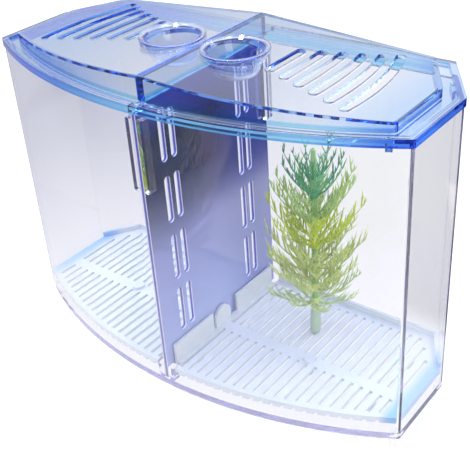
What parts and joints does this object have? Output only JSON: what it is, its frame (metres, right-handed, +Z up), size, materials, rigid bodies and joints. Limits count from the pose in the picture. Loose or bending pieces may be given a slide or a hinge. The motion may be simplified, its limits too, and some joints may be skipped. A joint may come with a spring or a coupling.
{
  "type": "fish breeding box",
  "caption": "Clear bow-fronted breeding box for small fish with lift-off vented lids, feeding cups, slotted divider, slotted floor grates and a plastic plant.",
  "frame": {"origin": "centre of the footprint on the table, under the middle of the lids", "axes": "+X to the right along the length, +Y to the flat back, +Z up; the divider lies in the plane X = 0 and the bowed front faces -Y"},
  "size_m": [0.19, 0.0876, 0.1414],
  "materials": {
    "tank_clear": "clear, polished",
    "divider_blue": "dark translucent blue, polished",
    "lid_blue": "pale translucent blue, polished",
    "cup_blue": "clear blue, polished",
    "grate_blue": "pale ice blue, polished",
    "plant_stem_green": "soft plastic, satin",
    "plant_leaf_green": "soft plastic, satin"
  },
  "bodies": {
    "tank": {"tank": "tank_clear"},
    "divider": {"divider": "divider_blue"},
    "left_lid": {"left_lid": "lid_blue"},
    "right_lid": {"right_lid": "lid_blue"},
    "left_cup": {"left_cup": "cup_blue"},
    "right_cup": {"right_cup": "cup_blue"},
    "left_grate": {"left_grate": "grate_blue"},
    "right_grate": {"right_grate": "grate_blue"},
    "plant": {"plant_stem": "plant_stem_green", "plant_whorl_1": "plant_leaf_green", "plant_whorl_2": "plant_leaf_green", "plant_whorl_3": "plant_leaf_green", "plant_whorl_4": "plant_leaf_green", "plant_whorl_5": "plant_leaf_green", "plant_whorl_6": "plant_leaf_green"}
  },
  "joints": [
    {"name": "divider_slide", "type": "slide", "parent": "tank", "child": "divider", "axis": [0, 0, 1], "range_m": [0, 0.118]},
    {"name": "left_lid_lift", "type": "slide", "parent": "divider", "child": "left_lid", "axis": [0, 0, 1], "range_m": [0, 0.06]},
    {"name": "right_lid_lift", "type": "slide", "parent": "divider", "child": "right_lid", "axis": [0, 0, 1], "range_m": [0, 0.06]},
    {"name": "left_cup_lift", "type": "slide", "parent": "left_lid", "child": "left_cup", "axis": [0, 0, 1], "range_m": [0, 0.03]},
    {"name": "right_cup_lift", "type": "slide", "parent": "right_lid", "child": "right_cup", "axis": [0, 0, 1], "range_m": [0, 0.03]},
    {"name": "left_grate_lift", "type": "slide", "parent": "tank", "child": "left_grate", "axis": [0, 0, 1], "range_m": [0, 0.09]},
    {"name": "right_grate_lift", "type": "slide", "parent": "tank", "child": "right_grate", "axis": [0, 0, 1], "range_m": [0, 0.014]},
    {"name": "plant_lift", "type": "slide", "parent": "right_grate", "child": "plant", "axis": [0, 0, 1], "range_m": [0, 0.014]}
  ]
}
